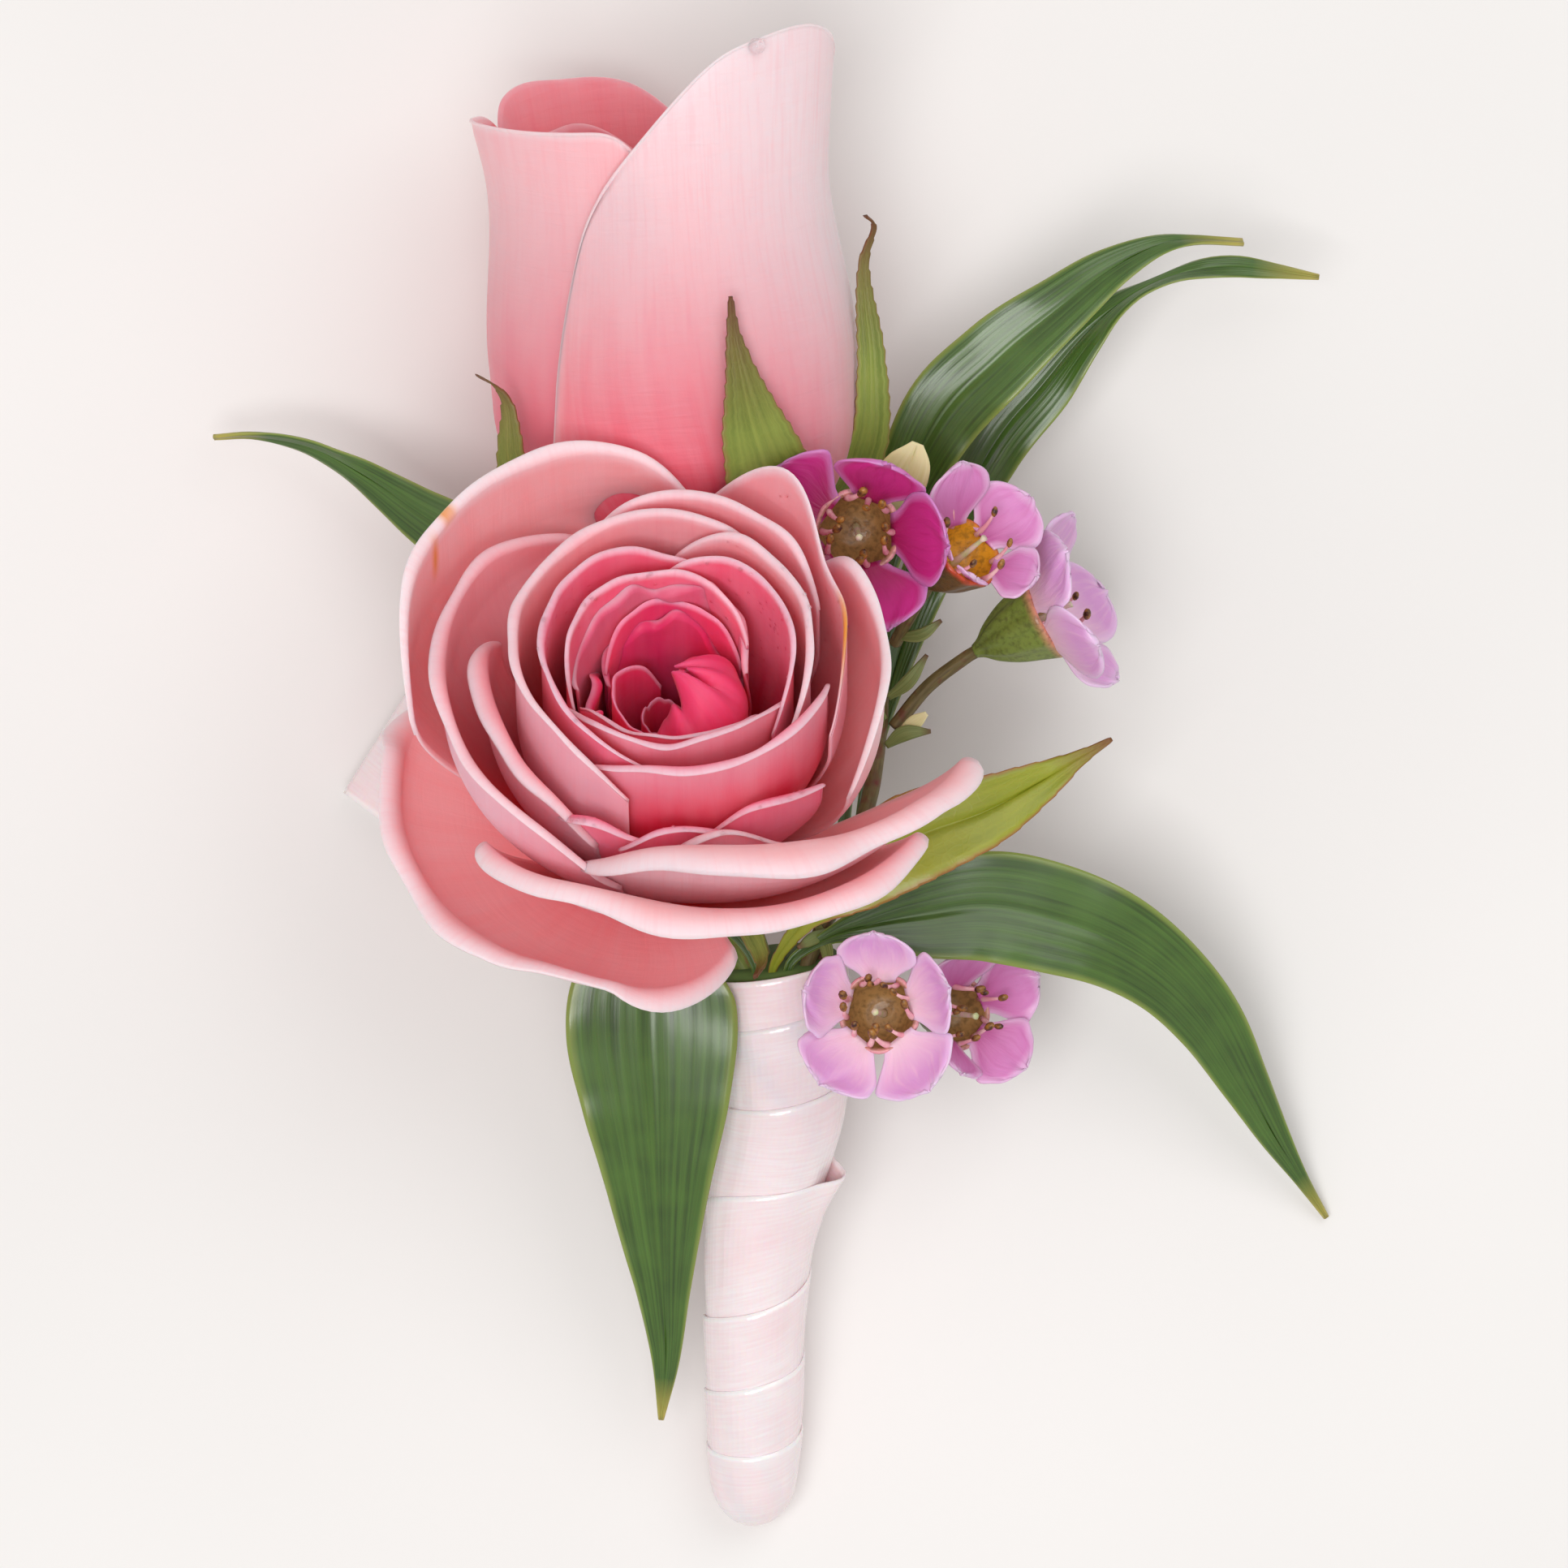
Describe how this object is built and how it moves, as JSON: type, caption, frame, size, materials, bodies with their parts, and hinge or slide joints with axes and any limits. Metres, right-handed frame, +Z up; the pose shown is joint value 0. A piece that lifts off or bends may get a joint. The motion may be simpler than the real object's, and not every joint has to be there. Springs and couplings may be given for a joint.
{
  "type": "boutonniere",
  "caption": "Boutonniere lying on its back: an open rose, a rosebud, small wax flowers and ruscus leaves, their stems bound into one handle with satin ribbon, for pinning to a lapel.",
  "frame": {"origin": "bottom centre of the bounding box: on the surface it lies on, under the middle of its length and width", "axes": "+Z up from the surface it lies on, out of the face of the open rose; +Y along the handle from its bound end towards the rosebud; +X to the right when looked down on with the bud at the top"},
  "size_m": [0.113, 0.1496, 0.0624],
  "materials": {
    "rose_petal": "satin",
    "rose_heart": "satin",
    "bud_petal": "satin",
    "calyx": "satin",
    "young_leaf": "satin",
    "ruscus": "gloss",
    "wax_petal": "satin",
    "wax_stem": "satin",
    "satin": "satin",
    "tape": "matte"
  },
  "bodies": {
    "root": {"bud_core": "bud_petal", "bud_petal_back": "bud_petal", "bud_petal_front": "bud_petal", "bud_petal_inner": "bud_petal", "bud_petal_left": "bud_petal", "bud_petal_middle": "bud_petal", "bud_sepal_back_left": "calyx", "bud_sepal_back_right": "calyx", "bud_sepal_front": "calyx", "bud_sepal_left": "calyx", "bud_sepal_right": "calyx", "bud_stem": "calyx", "floral_tape": "tape", "ribbon_loop": "satin", "ribbon_wrap": "satin", "rose_core": "rose_heart", "rose_petal_back_left": "rose_petal", "rose_petal_back_top": "rose_petal", "rose_petal_crescent": "rose_petal", "rose_petal_cup_left": "rose_petal", "rose_petal_front": "rose_petal", "rose_petal_guard_front": "rose_petal", "rose_petal_guard_left": "rose_petal", "rose_petal_heart_hood": "rose_petal", "rose_petal_heart_left": "rose_petal", "rose_petal_inner_low": "rose_petal", "rose_petal_inner_top": "rose_petal", "rose_petal_point_right": "rose_petal", "rose_petal_rim_left": "rose_petal", "rose_petal_rim_low": "rose_petal", "rose_petal_rim_right": "rose_petal", "rose_petal_ring_left": "rose_petal", "rose_petal_ring_low": "rose_petal", "rose_petal_ring_right": "rose_petal", "rose_petal_roll_left": "rose_petal", "rose_petal_side_right": "rose_petal", "rose_sepal_left": "calyx", "rose_sepal_low": "calyx", "rose_sepal_right": "calyx", "rose_sepal_top": "calyx", "rose_sepal_under": "calyx", "rose_stem": "calyx", "ruscus_leaf_left": "ruscus", "ruscus_leaf_low": "ruscus", "ruscus_leaf_right_low": "ruscus", "ruscus_leaf_right_lower": "ruscus", "ruscus_leaf_right_upper": "ruscus", "wax_bract": "wax_stem", "wax_flower_aged": "wax_petal", "wax_flower_behind": "wax_petal", "wax_flower_facing": "wax_petal", "wax_flower_low": "wax_petal", "wax_flower_side": "wax_petal", "wax_leaf_pale": "wax_stem", "wax_stem_aged": "wax_stem", "wax_stem_behind": "wax_stem", "wax_stem_facing": "wax_stem", "wax_stem_low": "wax_stem", "wax_stem_side": "wax_stem", "young_rose_leaf": "young_leaf"}
  },
  "joints": []
}
